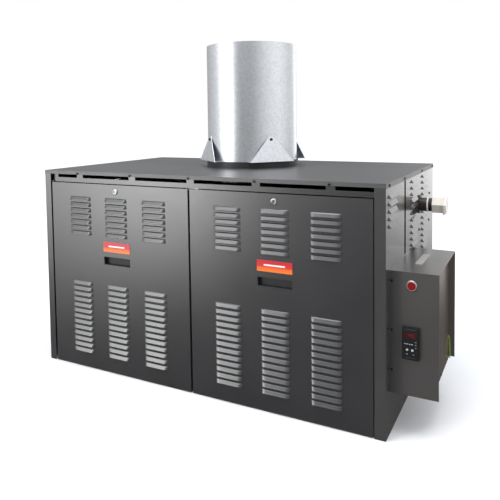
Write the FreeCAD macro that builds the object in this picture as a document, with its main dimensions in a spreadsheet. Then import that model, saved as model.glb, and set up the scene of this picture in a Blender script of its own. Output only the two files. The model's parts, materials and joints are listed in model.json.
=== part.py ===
"""Atmospheric gas water heater with its burner assembly, in a sheet-steel cabinet.

Frame: millimetres, +Z up, -Y is the front with the two doors, +X the side with the control box.
The origin is on the floor, under the middle of the cabinet.
"""
import FreeCAD, Part
import Sketcher
import math
import os
import re

# Driving sizes in millimetres. A text starting with "=" is a formula on the sizes above it.
SIZES = {
    # cabinet
    "cabinet_width": 1354, "cabinet_depth": 776, "cabinet_height": 762, "steel": 1.2,
    "front_lip": 13, "side_lip": 16, "left_stile": 29, "right_stile": 34, "seam_setback": 255,
    "seam_gap": 4, "panel_flange": 16, "pan_height": 32, "pan_front_setback": 26,
    "mullion_width": 50, "mullion_depth": 24, "screw_from_seam": 8, "screw_from_back": 14,
    # header rail above the doors
    "header_setback": 12, "header_drop": 46, "header_foot": "=header_drop - 2",
    "header_slot_drop": 27, "header_slot_height": 16, "header_tab_width": 30,
    "header_tab_pitch": "=cabinet_width / 5.35", "header_end_gap": 5,
    # doors
    "door_half_gap": 4, "door_side_margin": 37, "door_bottom": 3, "door_depth": 22,
    "door_top_flange": 9, "door_notch": 40, "pivot_inset": 7, "pivot_height": 10,
    "pivot_radius": 2.5, "pivot_clearance": 0.05, "ear_gap": 1.0, "ear_thickness": 2.0,
    "ear_radius": 5,
    # louvres
    "louvre_length": 98, "louvre_height": 13, "louvre_reach": 7, "louvre_taper": 7,
    "louvre_pitch": "=cabinet_height / 34.64", "door_column_pitch": "=cabinet_width * 0.127",
    "lower_louvre_start": "=cabinet_height / 12.1",
    "upper_louvre_start": "=cabinet_height - 109 - 6 * louvre_pitch",
    "side_front_column": 82, "side_rear_column": "=(cabinet_depth - seam_setback) * 0.2764",
    "side_column_pitch": "=(cabinet_depth - seam_setback) * 0.3704",
    "side_front_start": "=cabinet_height - 136", "side_rear_start": "=cabinet_height * 0.606",
    # door furniture
    "lock_drop": 25, "lock_radius": 8, "lock_rim": 10, "plug_radius": 6.0, "turn_clearance": 0.05,
    "lock_depth": 14, "keyway_width": 1.4, "keyway_length": 8,
    "cam_length": 38, "cam_width": 12, "cam_thickness": 2, "cam_clearance": 1.5,
    "badge_width": 124, "badge_height": 37, "badge_thickness": 1.5,
    "badge_bottom": "=upper_louvre_start - 57", "pull_width": 124, "pull_height": 31,
    "pull_bottom": "=badge_bottom - 50", "pull_depth": 16, "pull_wall": 2,
    # vent
    "vent_radius": 184, "vent_wall": 1.0, "vent_centre_y": 98, "vent_top": "=cabinet_height + 488",
    "collar_height": 25, "collar_wall": 5, "stay_height": 98, "stay_width": 184,
    "stay_apex": 18, "stay_reach": 14, "stay_turn": 50, "stay_screw_drop": 12,
    # combustion chamber, heat exchanger and draft hood
    "chamber_width": "=cabinet_width - 234", "chamber_depth": "=cabinet_depth - 316",
    "chamber_centre_y": 45, "board": 25, "burner_height": 190,
    "board_open_height": "=burner_height + 45", "tube_height": "=cabinet_height - 179",
    "tube_radius": 11, "tube_wall": 1.5, "tube_pitch": "=chamber_depth / 9.2",
    "fin_radius": "=tube_pitch * 0.44", "fin_pitch": 36, "fin_thickness": 1.5, "fin_end_gap": 20,
    "tube_sheet": 12, "stand_wall": 3, "header_width": "=chamber_depth - 30",
    "header_bottom": "=tube_height - 83", "header_top": "=tube_height + 82",
    "header_casting": 52, "header_wall": 9, "header_margin": 20, "gasket": 3,
    "hood_break": "=cabinet_height - 142", "hood_top": "=cabinet_height - 56",
    "hood_outlet": "=2 * vent_radius + 32",
    # burner assembly
    "tray_height": 110, "burner_radius": 19, "burner_wall": 1.2,
    "burner_pitch": "=(chamber_width - 64) / 12", "burner_front": "=cabinet_depth / 2 - 126",
    "burner_back": "=chamber_centre_y + chamber_depth / 2 - 5", "venturi_radius": 27,
    "venturi_length": 46, "rack_front": "=chamber_depth / 2 - chamber_centre_y + 23",
    "rack_back": "=burner_back - 20", "rack_thickness": 2, "rack_rise": 27, "flame_slot": 6,
    "manifold_radius": 16.7, "manifold_wall": 3, "manifold_setback": 68,
    "manifold_length": "=chamber_width - 60",
    # gas train
    "supply_height": 330, "supply_radius": 16.7, "supply_wall": 3.4, "supply_stub": 34,
    "cock_x": "=117 - cabinet_width / 2", "cock_radius": 22, "cock_length": 60,
    "cock_bore": 12.5,
    "bonnet_radius": 15, "bonnet_length": 30, "stem_radius": 6, "lever_length": 70,
    "lever_width": 16, "lever_thickness": 6, "valve_one_x": "=cock_x + 130",
    "valve_two_x": "=valve_one_x + 160", "riser_x": "=valve_two_x + 100", "valve_width": 96,
    "valve_body_depth": 72, "valve_body_height": 84, "knob_radius": 16, "knob_height": 18,
    "knob_stem": 5,
    # water connection
    "water_y": "=side_rear_column + side_column_pitch / 2 + seam_setback - cabinet_depth / 2 - 3.5",
    "water_height": "=tube_height + 52", "return_height": "=tube_height - 48",
    "nipple_radius": 24.15, "pipe_wall": 3.7, "port_cutout": 28, "nipple_reach": 30,
    "locknut_radius": 33, "locknut_length": 4, "locknut_gap": 1, "washer_radius": 26,
    "washer_length": 5, "clamp_radius": 23.5, "clamp_length": 14, "union_radius": 32,
    "union_length": 37, "nut_radius": 38, "nut_length": 5, "cap_radius": 34.5, "cap_length": 6,
    "hexagon_turn": 23,
    # control box
    "box_reach": 141, "box_front": "=cabinet_depth / 2 - 48", "box_back": "=cabinet_depth / 2 - 374",
    "box_bottom": 130, "box_top": 500, "box_side_recess": 17, "duct_from_seam": 60,
    "duct_size": 30, "duct_rise": 60, "controller_width": 48, "controller_height": 96,
    "controller_x": 62, "controller_z": 291, "controller_reach": 11, "controller_body": 90,
    "window_margin": 5, "window_drop": 14, "window_rise": 15,
    "button_x": 63.6, "button_z": 460.5, "button_rim": 16, "button_radius": 13, "button_proud": 5,
    "button_lip": 0.5, "key_radius": 3.4, "key_length": 4, "key_travel": 1, "key_z": 273,
    "key_spread": 15, "module_offset": 76, "module_width": 120, "module_rise": 170,
    "module_height": 130, "module_depth": 38, "earth_offset": 22, "earth_rise": 82,
    "earth_radius": 1.6,
    # screws
    "screw_head": 4.5, "screw_shank": 2.0, "screw_grip": 8, "screw_rise": 2.2,
    "small_head": 3.2, "small_shank": 1.6, "small_grip": 6, "stay_screw_head": 5,
    "stay_screw_length": 4,
}

doc = FreeCAD.newDocument("Water_heater")
sheet = doc.addObject("Spreadsheet::Sheet", "Dimensions")
for row, (alias, value) in enumerate(SIZES.items(), start=1):
    sheet.set(f"A{row}", alias)
    sheet.set(f"B{row}", str(value))
    sheet.setAlias(f"B{row}", alias)
    doc.recompute()

NODES = {}
ALIASES = re.compile(r"\b(" + "|".join(sorted(SIZES, key=len, reverse=True)) + r")\b")
TURNS = {
    "z": FreeCAD.Rotation(),
    "x": FreeCAD.Rotation(FreeCAD.Vector(0, 1, 0), 90),
    "y": FreeCAD.Rotation(FreeCAD.Vector(1, 0, 0), -90),
    "-x": FreeCAD.Rotation(FreeCAD.Vector(0, 1, 0), -90),
    "-y": FreeCAD.Rotation(FreeCAD.Vector(1, 0, 0), 90),
    "-z": FreeCAD.Rotation(FreeCAD.Vector(1, 0, 0), 180),
}
X_MAX = "cabinet_width / 2"
FRONT = "-cabinet_depth / 2"
BACK = "cabinet_depth / 2"
HOOD_Y = "chamber_centre_y"
DOOR_EDGES = {
    "left": ("-cabinet_width / 2 + door_side_margin", "-door_half_gap"),
    "right": ("door_half_gap", "cabinet_width / 2 - door_side_margin"),
}
BOX_X = f"{X_MAX} + box_reach"
BOX_FRONT, BOX_BACK = "-box_front", "-box_back"
TUBE_ROWS = [f"({i} - 3.5) * tube_pitch" for i in range(8)]
PIVOT_AT = ("-cabinet_depth / 2 + pivot_inset", "pivot_height")
BURNERS = [f"({i} - 5.5) * burner_pitch" for i in range(12)]
BACKWARDS = {"-y": "y", "x": "-x", "-x": "x", "z": "-z", "y": "-y", "-z": "z"}


def size(alias):
    """The present value of a driving dimension."""
    return float(sheet.get(alias))


def bind(item, target, expression):
    """Ties one property of an object to an expression of sheet aliases."""
    item.setExpression(target, ALIASES.sub(r"Dimensions.\1", str(expression)))


def place(item, at, turn=FreeCAD.Rotation()):
    """Puts an object at a point given as three expressions, turned by a fixed rotation."""
    item.Placement = FreeCAD.Placement(FreeCAD.Vector(), turn)
    for letter, expression in zip("xyz", at):
        bind(item, f"Placement.Base.{letter}", expression)
    return item


def box(low, high):
    """A block between two corners, each given as three expressions."""
    item = doc.addObject("Part::Box", "Block")
    for side, small, large in zip(("Length", "Width", "Height"), low, high):
        bind(item, side, f"({large}) - ({small})")
    return place(item, low)


def rod(radius, length, at, axis="z"):
    """A round bar from a point along an axis."""
    item = doc.addObject("Part::Cylinder", "Rod")
    bind(item, "Radius", radius)
    bind(item, "Height", length)
    return place(item, at, TURNS[axis])


def cone(radius, end_radius, length, at, axis="z"):
    """A round taper from a point along an axis."""
    item = doc.addObject("Part::Cone", "Taper")
    bind(item, "Radius1", radius)
    bind(item, "Radius2", end_radius)
    bind(item, "Height", length)
    return place(item, at, TURNS[axis])


def joined(*items):
    """One solid made of touching or overlapping ones."""
    item = doc.addObject("Part::MultiFuse", "Joined")
    item.Shapes = list(items)
    return item


def gathered(*items):
    """Several solids that stay separate in one node."""
    item = doc.addObject("Part::Compound", "Gathered")
    item.Links = list(items)
    return item


def without(base, *tools):
    """A solid with one or more others cut out of it."""
    item = doc.addObject("Part::Cut", "Cutting")
    item.Base = base
    item.Tool = tools[0] if len(tools) == 1 else gathered(*tools)
    return item


def tube(radius, wall, length, at, axis="z"):
    """A round pipe with a through bore."""
    inner = rod(f"{radius} - ({wall})", length, at, axis)
    return without(rod(radius, length, at, axis), inner)


def node(label, item):
    """Names an object as a sub-part that gets a file of its own."""
    item.Label = label
    NODES[label] = item
    return item


def plane_of(body, role):
    """One of a body's own origin planes or axes."""
    return next(o for o in body.Origin.OriginFeatures if o.Role == role)


def outline(body, role, points):
    """A closed sketch through points given as pairs of expressions."""
    sketch = body.newObject("Sketcher::SketchObject", "Outline")
    sketch.AttachmentSupport = [(plane_of(body, role), "")]
    sketch.MapMode = "FlatFace"
    corners = [FreeCAD.Vector(*[number(e) for e in point], 0) for point in points]
    count = len(corners)
    for i in range(count):
        sketch.addGeometry(Part.LineSegment(corners[i], corners[(i + 1) % count]))
    for i in range(count):
        sketch.addConstraint(Sketcher.Constraint("Coincident", i, 2, (i + 1) % count, 1))
    for i, point in enumerate(points):
        for kind, expression, value in zip(("DistanceX", "DistanceY"), point, corners[i][:2]):
            index = sketch.addConstraint(Sketcher.Constraint(kind, -1, 1, i, 1, value))
            bind(sketch, f"Constraints[{index}]", expression)
    return sketch


def number(expression):
    """The present value of an expression of sheet aliases."""
    text = ALIASES.sub(lambda found: str(size(found.group(1))), str(expression))
    scratch = sheet.evalExpression(text)
    return float(getattr(scratch, "Value", scratch))


def turned(points, at, axis="z"):
    """A body turned from a half section of (radius, height) points about its own axis."""
    body = doc.addObject("PartDesign::Body", "Turned")
    sketch = outline(body, "XZ_Plane", points)
    revolution = body.newObject("PartDesign::Revolution", "Revolution")
    revolution.Profile = sketch
    revolution.ReferenceAxis = (sketch, ["V_Axis"])
    revolution.Angle = 360
    return place(body, at, TURNS[axis])


def wedge(length, rise, reach, taper):
    """A lying wedge, deepest at its open bottom edge, whose two ends slope in by the taper."""
    half = length / 2
    left_top, right_top = FreeCAD.Vector(-half, 0, rise), FreeCAD.Vector(half, 0, rise)
    left_foot, right_foot = FreeCAD.Vector(-half, 0, 0), FreeCAD.Vector(half, 0, 0)
    left_lip = FreeCAD.Vector(taper - half, -reach, 0)
    right_lip = FreeCAD.Vector(half - taper, -reach, 0)
    loops = [(left_top, right_top, right_lip, left_lip), (left_top, left_lip, left_foot),
             (right_top, right_foot, right_lip), (left_foot, left_lip, right_lip, right_foot),
             (left_top, left_foot, right_foot, right_top)]
    faces = [Part.Face(Part.makePolygon(list(loop) + [loop[0]])) for loop in loops]
    return Part.Solid(Part.Shell(faces))


def louvred_sheet(label, width, height, louvres):
    """A flat sheet facing -Y, from x=0 and z=0, pressed out into louvre hoods open at the bottom."""
    steel, reach, taper = size("steel"), size("louvre_reach"), size("louvre_taper")
    rise, length = size("louvre_height"), size("louvre_length")
    slope = math.hypot(rise, reach)
    inner_rise, inner_reach = rise - steel * slope / reach, reach - steel * slope / rise
    inner_length = length - 3 * steel
    outer = wedge(length, rise, reach, taper)
    inner = wedge(inner_length, inner_rise, inner_reach, taper)
    mouth = Part.makeBox(inner_length, steel, inner_rise,
                         FreeCAD.Vector(-inner_length / 2, 0, 0))
    places = [FreeCAD.Vector(x, 0, z) for x, z in louvres]
    flat = Part.makeBox(width, steel, height)
    flat = flat.cut([mouth.translated(place_at) for place_at in places])
    hood = outer.cut(inner)
    item = doc.addObject("Part::Feature", label)
    item.Shape = flat.fuse([hood.translated(place_at) for place_at in places])
    return item


def screws(spots, axis, kind="screw"):
    """Pan-head screws, heads outside a face; the axis points out of the face."""
    return [joined(rod(f"{kind}_head", "screw_rise", at, axis),
                   rod(f"{kind}_shank", f"{kind}_grip", at, BACKWARDS[axis])) for at in spots]


def holes(spots, axis, kind="screw"):
    """Drill holes that take the shanks of the screws at the same spots."""
    return [rod(f"{kind}_shank", f"{kind}_grip", at, BACKWARDS[axis]) for at in spots]


# ---- cabinet ----------------------------------------------------------------------------------
def base_pan():
    """Floor tray that every inner part stands on."""
    low = (f"-{X_MAX} + steel", f"{FRONT} + pan_front_setback", "0")
    high = (f"{X_MAX} - steel", f"{BACK} - steel", "pan_height")
    hollow_low = (f"{low[0]} + steel", f"{low[1]} + steel", "steel")
    hollow_high = (f"{high[0]} - steel", f"{high[1]} - steel", "pan_height + 1")
    tray = without(box(low, high), box(hollow_low, hollow_high))
    ears = [ear(*spot) for spot in ear_spots()]
    return node("base_pan", joined(tray, *ears))


def lip_spots():
    return [(f"{i} * header_tab_pitch", FRONT, "cabinet_height - front_lip / 2 - 3")
            for i in (-2, -1, 0, 1, 2)]


def side_spots(sign):
    rows = [f"{FRONT} + 40", f"{FRONT} + seam_setback - screw_from_seam",
            f"({FRONT} + seam_setback + {BACK}) / 2 + screw_from_seam * 3",
            f"{BACK} - screw_from_back"]
    return [(f"{sign} * ({X_MAX} + steel)", y, "cabinet_height - side_lip / 2 - 1") for y in rows]


def stay_bar_spots():
    return [(X_MAX, f"{BACK} - 75", "water_height + 15"),
            (X_MAX, f"{BACK} - 86", "return_height + 10"), (X_MAX, "water_y", "return_height + 6")]


def cover_spots():
    return [(f"{X_MAX} + 5.5", BOX_FRONT, f"box_bottom + {rise}") for rise in (71, 192, 340)]


def end_plate_spots():
    return [(f"{BOX_X} - box_side_recess", f"({BOX_FRONT}) / 2 - 16", "box_bottom + 14")]


def top_panel():
    """Lid with a folded lip all round and the hole for the vent pipe."""
    outer = box((f"-{X_MAX} - steel", FRONT, "cabinet_height - side_lip"),
                (f"{X_MAX} + steel", f"{BACK} + steel", "cabinet_height"))
    inner = box((f"-{X_MAX}", f"{FRONT} + steel", "cabinet_height - side_lip - 1"),
                (X_MAX, BACK, "cabinet_height - steel"))
    front_trim = box((f"-{X_MAX} - 1", f"{FRONT} - 1", "cabinet_height - side_lip - 1"),
                     (f"{X_MAX} + 1", f"{FRONT} + steel + 1", "cabinet_height - front_lip"))
    vent_hole = rod("vent_radius", "60", ("0", "vent_centre_y", "cabinet_height - 30"))
    drilled = holes(lip_spots(), "-y") + holes(side_spots("1"), "x")
    drilled += holes(side_spots("-1"), "-x")
    return node("top_panel", without(outer, inner, front_trim, vent_hole, *drilled))


def side_panels():
    """Two louvred panels on each side; the front one carries the stile beside the door."""
    rise = size("louvre_pitch")
    tall = size("cabinet_height") - size("steel")
    deep, setback = size("cabinet_depth"), size("seam_setback")
    gap = size("seam_gap") / 2
    front_rows = [(size("side_front_column"), size("side_front_start") + i * rise)
                  for i in range(5)]
    rear_wide = deep - setback - gap
    rear_levels = [size("side_rear_start") + i * rise for i in range(13)]
    first, second = size("side_rear_column"), size("side_rear_column") + size("side_column_pitch")
    rear_rows = [(first, z) for z in rear_levels if z > size("box_top")]
    rear_rows += [(second, z) for z in rear_levels]
    for side, sign, stile in (("left", "-1", "left_stile"), ("right", "1", "right_stile")):
        turn = FreeCAD.Rotation(FreeCAD.Vector(0, 0, 1), 90 * int(sign))
        wide = setback - gap
        spots = front_rows
        if side == "left":
            spots = [(wide - x, z) for x, z in front_rows]
        skin = louvred_sheet(f"{side}_front_skin", wide, tall, spots)
        start = FRONT if side == "right" else f"{FRONT} + seam_setback - seam_gap / 2"
        place(skin, (f"{sign} * {X_MAX}", start, "0"), turn)
        near, far = (f"{X_MAX} - {stile}", X_MAX) if side == "right" else (
            f"-{X_MAX}", f"-{X_MAX} + {stile}")
        front_flange = box((near, FRONT, "0"),
                           (far, f"{FRONT} + steel", "cabinet_height - front_lip"))
        seam = f"{FRONT} + seam_setback"
        fold_near, fold_far = sorted_pair(sign, f"{X_MAX} - panel_flange", X_MAX)
        front_fold = box((fold_near, f"{seam} - seam_gap / 2 - steel", "pan_height"),
                         (fold_far, f"{seam} - seam_gap / 2", "cabinet_height - steel"))
        panel = joined(skin, front_flange, front_fold)
        cuts = holes(side_spots(sign)[:2], "x" if sign == "1" else "-x")
        notch_near, notch_far = sorted_pair(sign, f"{X_MAX} - steel - 1", f"{X_MAX} + 1")
        cuts.append(box((notch_near, f"{FRONT} - 1", "cabinet_height - front_lip"),
                        (notch_far, f"{FRONT} + steel", "cabinet_height")))
        if side == "left":
            cuts.append(rod("supply_radius + 3", "20",
                            (f"-{X_MAX} - 5", f"{FRONT} + manifold_setback", "supply_height"), "x"))
        else:
            cuts.append(wire_duct())
        node(f"{side}_front_panel", without(panel, *cuts))

        spots = rear_rows
        if side == "left":
            spots = [(rear_wide - x, z) for x, z in rear_rows]
        skin = louvred_sheet(f"{side}_rear_skin", rear_wide, tall, spots)
        start = f"{seam} + seam_gap / 2" if side == "right" else BACK
        place(skin, (f"{sign} * {X_MAX}", start, "0"), turn)
        rear_flange = box((fold_near, f"{BACK} - steel", "0"),
                          (fold_far, BACK, "cabinet_height - steel"))
        rear_fold = box((fold_near, f"{seam} + seam_gap / 2", "pan_height"),
                        (fold_far, f"{seam} + seam_gap / 2 + steel", "cabinet_height - steel"))
        panel = joined(skin, rear_flange, rear_fold)
        cuts = holes(side_spots(sign)[2:], "x" if sign == "1" else "-x")
        port_start = f"{X_MAX} - 10" if side == "right" else f"-{X_MAX} - 10"
        port_level = "water_height" if side == "right" else "return_height"
        cuts.append(rod("port_cutout", "20", (port_start, "water_y", port_level), "x"))
        if side == "right":
            cuts += holes(stay_bar_spots(), "x")
        node(f"{side}_rear_panel", without(panel, *cuts))


def wire_duct():
    """Square opening that leads the wires from the cabinet into the control box."""
    y = f"{FRONT} + seam_setback - duct_from_seam"
    return box((f"{X_MAX} - 5", y, "box_bottom + duct_rise"),
               (f"{X_MAX} + 5", f"{y} + duct_size", "box_bottom + duct_rise + duct_size"))


def sorted_pair(sign, small, large):
    """The x limits of a piece on the right side, or mirrored onto the left side."""
    return (small, large) if sign == "1" else (f"-({large})", f"-({small})")


def rear_panel():
    """Back sheet between the two rear flanges."""
    return node("rear_panel", box(
        (f"-{X_MAX} + panel_flange", f"{BACK} - steel", "pan_height"),
        (f"{X_MAX} - panel_flange", BACK, "cabinet_height - steel")))


def header_rail():
    """Slotted strip set back under the lip of the lid, above the doors."""
    face = f"{FRONT} + header_setback"
    low, high = f"-{X_MAX} + left_stile + header_end_gap", f"{X_MAX} - right_stile"
    foot = "cabinet_height - header_foot"
    strip = box((low, face, foot), (high, f"{face} + steel", "cabinet_height - steel"))
    shelf = box((low, face, foot), (high, f"{face} + panel_flange", f"{foot} + steel"))
    slots = []
    for door_low, door_high in DOOR_EDGES.values():
        middle, cam_y = f"(({door_low}) + ({door_high})) / 2", f"{face} + steel"
        slots.append(box((f"{middle} - cam_width / 2 - 2", f"{cam_y} + 0.5", f"{foot} - 1"),
                         (f"{middle} + cam_length",
                          f"{cam_y} + cam_clearance + cam_thickness + 1", f"{foot} + steel + 1")))
    edges = [f"({i}) * header_tab_pitch" for i in (-2, -1, 0, 1, 2)]
    starts = [f"{low} + 24"] + [f"{x} + header_tab_width / 2" for x in edges]
    ends = [f"{x} - header_tab_width / 2" for x in edges] + [f"{high} - 1"]
    for start, end in zip(starts, ends):
        slots.append(box((start, f"{face} - 1", "cabinet_height - header_slot_drop"),
                         (end, f"{face} + steel + 0.5",
                          "cabinet_height - header_slot_drop + header_slot_height")))
    return node("header_rail", without(joined(strip, shelf), *slots))


def centre_mullion():
    """Folded post behind the meeting edges of the doors."""
    face, half = f"{FRONT} + pan_front_setback", "mullion_width / 2"
    outer = box((f"-{half}", face, "pan_height"),
                (half, f"{face} + mullion_depth", "cabinet_height - header_drop"))
    inner = box((f"-{half} + steel", f"{face} + steel", "pan_height - 1"),
                (f"{half} - steel", f"{face} + mullion_depth + 1",
                 "cabinet_height - header_drop + 1"))
    return node("centre_mullion", without(outer, inner))


# ---- doors ------------------------------------------------------------------------------------
def doors():
    """Louvred doors that stand on pivot pins at their lower corners and tilt out to lift off."""
    rise = size("louvre_pitch")
    door_wide = size("cabinet_width") / 2 - size("door_half_gap") - size("door_side_margin")
    bottom = size("door_bottom")
    door_tall = size("cabinet_height") - size("header_drop") - bottom
    columns = [door_wide / 2 + i * size("door_column_pitch") for i in (-1, 0, 1)]
    levels = [size("lower_louvre_start") - bottom + i * rise for i in range(13)]
    levels += [size("upper_louvre_start") - bottom + i * rise for i in range(7)]
    louvres = [(x, z) for x in columns for z in levels]
    skin_shape = louvred_sheet("door_skin", door_wide, door_tall, louvres)
    top = "cabinet_height - header_drop"
    back = f"{FRONT} + door_depth"
    for side, (low, high) in DOOR_EDGES.items():
        skin = doc.addObject("Part::Feature", f"{side}_door_skin")
        skin.Shape = skin_shape.Shape
        place(skin, (low, FRONT, "door_bottom"))
        flanges = [
            box((low, FRONT, "door_bottom"), (f"{low} + steel", back, f"{top} - door_notch")),
            box((f"{high} - steel", FRONT, "door_bottom"), (high, back, f"{top} - door_notch")),
            box((low, FRONT, "door_bottom"), (high, back, "door_bottom + steel")),
            box((low, FRONT, f"{top} - steel"), (high, f"{FRONT} + door_top_flange", top)),
        ]
        middle = f"(({low}) + ({high})) / 2"
        lock_at = (middle, f"{FRONT} - 5", f"{top} - lock_drop")
        cuts = [
            rod("lock_radius", "20", lock_at, "y"),
            box((f"{middle} - pull_width / 2", f"{FRONT} - 5", "pull_bottom"),
                (f"{middle} + pull_width / 2", f"{FRONT} + 5", "pull_bottom + pull_height")),
            rod("pivot_radius + pivot_clearance", "cabinet_width / 2 + 20",
                (f"{low} - 5", f"{FRONT} + pivot_inset", "pivot_height"), "x"),
        ]
        room = "(steel + ear_gap + ear_thickness + ear_gap)"
        for start, end in ((f"{low} + steel", f"{low} + {room}"),
                           (f"{high} - {room}", f"{high} - steel")):
            cuts.append(box((start, f"{FRONT} + steel", "door_bottom - 1"),
                            (end, f"{back} + 1", "door_bottom + steel + 1")))
        node(f"{side}_door_panel", without(joined(skin, *flanges), *cuts))
        door_furniture(side, middle, top)


def door_furniture(side, middle, top):
    """Badge plate, recessed pull and key lock of one door."""
    node(f"{side}_badge", box(
        (f"{middle} - badge_width / 2", f"{FRONT} - badge_thickness", "badge_bottom"),
        (f"{middle} + badge_width / 2", FRONT, "badge_bottom + badge_height")))
    cup = box((f"{middle} - pull_width / 2", FRONT, "pull_bottom"),
              (f"{middle} + pull_width / 2", f"{FRONT} + pull_depth", "pull_bottom + pull_height"))
    hollow = box((f"{middle} - pull_width / 2 + pull_wall", f"{FRONT} - 1",
                  "pull_bottom + pull_wall"),
                 (f"{middle} + pull_width / 2 - pull_wall", f"{FRONT} + pull_depth - pull_wall",
                  "pull_bottom + pull_height - pull_wall"))
    node(f"{side}_door_pull", without(cup, hollow))
    lock_z = f"{top} - lock_drop"
    bore = "plug_radius + turn_clearance"
    barrel = turned([(bore, "0"), ("lock_rim", "0"), ("lock_rim", "badge_thickness"),
                     ("lock_radius", "badge_thickness"), ("lock_radius", "lock_depth"),
                     (bore, "lock_depth")],
                    (middle, f"{FRONT} - badge_thickness", lock_z), "y")
    node(f"{side}_lock_barrel", barrel)
    cam_depth = "header_setback + steel + cam_clearance"
    plug = rod("plug_radius", f"{cam_depth} + cam_thickness + 1",
               (middle, f"{FRONT} - 1", lock_z), "y")
    keyway = box((f"{middle} - keyway_width / 2", f"{FRONT} - 2", f"{lock_z} - keyway_length / 2"),
                 (f"{middle} + keyway_width / 2", f"{FRONT} + 3", f"{lock_z} + keyway_length / 2"))
    cam = box((f"{middle} - cam_width / 2", f"{FRONT} + {cam_depth}", f"{lock_z} - cam_width / 2"),
              (f"{middle} + cam_length", f"{FRONT} + {cam_depth} + cam_thickness",
               f"{lock_z} + cam_width / 2"))
    node(f"{side}_lock_plug", without(joined(plug, cam), keyway))


def ear_spots():
    """Inner x, outer x and door edge of the four ears, from left to right."""
    inset = "(steel + ear_gap)"
    spots = []
    for low, high in DOOR_EDGES.values():
        spots.append((f"{low} + {inset}", f"{low} + {inset} + ear_thickness", f"{low} - 1"))
        spots.append((f"{high} - {inset} - ear_thickness", f"{high} - {inset}",
                      f"{high} - {inset} - ear_thickness"))
    return spots


def ear(inner, outer, _):
    """Upright ear on the front of the base pan, with a round nose bored for a pivot pin."""
    arm = box((inner, PIVOT_AT[0], "pivot_height - ear_radius"),
              (outer, f"{FRONT} + pan_front_setback", "pivot_height + ear_radius"))
    nose = rod("ear_radius", "ear_thickness", (inner, *PIVOT_AT), "x")
    return without(joined(arm, nose), rod("pivot_radius", "10", (f"{inner} - 4", *PIVOT_AT), "x"))


def pivot_pins():
    """Pins in the ears that the lower corners of the doors turn on."""
    length = "steel + ear_gap + ear_thickness + 1"
    pins = [rod("pivot_radius", length, (start, *PIVOT_AT), "x") for _, _, start in ear_spots()]
    node("pivot_pins", gathered(*pins))


# ---- vent -------------------------------------------------------------------------------------
def vent():
    """Galvanised vent pipe, its collar on the lid and four triangular stays."""
    centre = ("0", "vent_centre_y")
    node("vent_pipe", tube("vent_radius", "vent_wall", "vent_top - hood_top",
                           (*centre, "hood_top")))
    node("vent_collar", without(
        rod("vent_radius + collar_wall", "collar_height", (*centre, "cabinet_height")),
        rod("vent_radius", "collar_height + 2", (*centre, "cabinet_height - 1"))))
    stays, fixings = [], []
    slope = math.degrees(math.atan2(size("stay_reach"), size("stay_height")))
    away = "(vent_radius + stay_reach * stay_screw_drop / stay_height + steel + 0.1)"
    for quarter in range(4):
        heading = size("stay_turn") + 90 * quarter
        turn = FreeCAD.Rotation(FreeCAD.Vector(0, 0, 1), heading)
        stays.append(place(stay_plate(), (*centre, "cabinet_height + collar_height"), turn))
        screw = doc.addObject("Part::Cylinder", "Stay_screw")
        bind(screw, "Radius", "stay_screw_head")
        bind(screw, "Height", "stay_screw_length")
        out = turn * FreeCAD.Rotation(FreeCAD.Vector(1, 0, 0), 90 - slope)
        heading = math.radians(heading)
        place(screw, (f"{away} * {math.sin(heading)}",
                      f"vent_centre_y - {away} * {math.cos(heading)}",
                      "cabinet_height + collar_height + stay_height - stay_screw_drop"), out)
        fixings.append(screw)
    node("vent_stays", gathered(*stays))
    return fixings


def stay_plate():
    """Sloping triangular plate whose foot rests on the collar; it stands in front of the pipe."""
    tall, half, apex = size("stay_height"), size("stay_width") / 2, size("stay_apex") / 2
    radius, steel = size("vent_radius"), size("steel")
    base = radius + size("stay_reach")
    corners = [FreeCAD.Vector(-half, -base, 0), FreeCAD.Vector(half, -base, 0),
               FreeCAD.Vector(apex, -radius, tall), FreeCAD.Vector(-apex, -radius, tall)]
    face = Part.Face(Part.makePolygon(corners + corners[:1]))
    plate = face.extrude(FreeCAD.Vector(0, -steel, 0))
    foot = Part.makeBox(2 * half, base, steel, FreeCAD.Vector(-half, -base, 0))
    foot = foot.cut(Part.makeCylinder(radius + steel, 3 * steel, FreeCAD.Vector(0, 0, -steel)))
    foot = max(foot.Solids, key=lambda piece: -piece.CenterOfMass.y)
    item = doc.addObject("Part::Feature", "Stay")
    item.Shape = plate.fuse(foot).removeSplitter()
    return item


# ---- heat exchanger ---------------------------------------------------------------------------
def combustion_chamber():
    """Refractory boards round the flame, standing on the base pan."""
    half, deep = "chamber_width / 2", "chamber_depth / 2"
    top = "tube_height - fin_radius"
    ends = []
    for sign in ("-1", "1"):
        low, high = sorted_pair(sign, half, f"{half} + board")
        ends.append(box((low, f"{HOOD_Y} - {deep} - board", "steel"),
                        (high, f"{HOOD_Y} + {deep} + board", top)))
    rear = box((f"-{half}", f"{HOOD_Y} + {deep}", "steel"),
               (half, f"{HOOD_Y} + {deep} + board", top))
    front = box((f"-{half}", f"{HOOD_Y} - {deep} - board", "board_open_height"),
                (half, f"{HOOD_Y} - {deep}", top))
    node("refractory_boards", gathered(*ends, rear, front))


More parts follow.
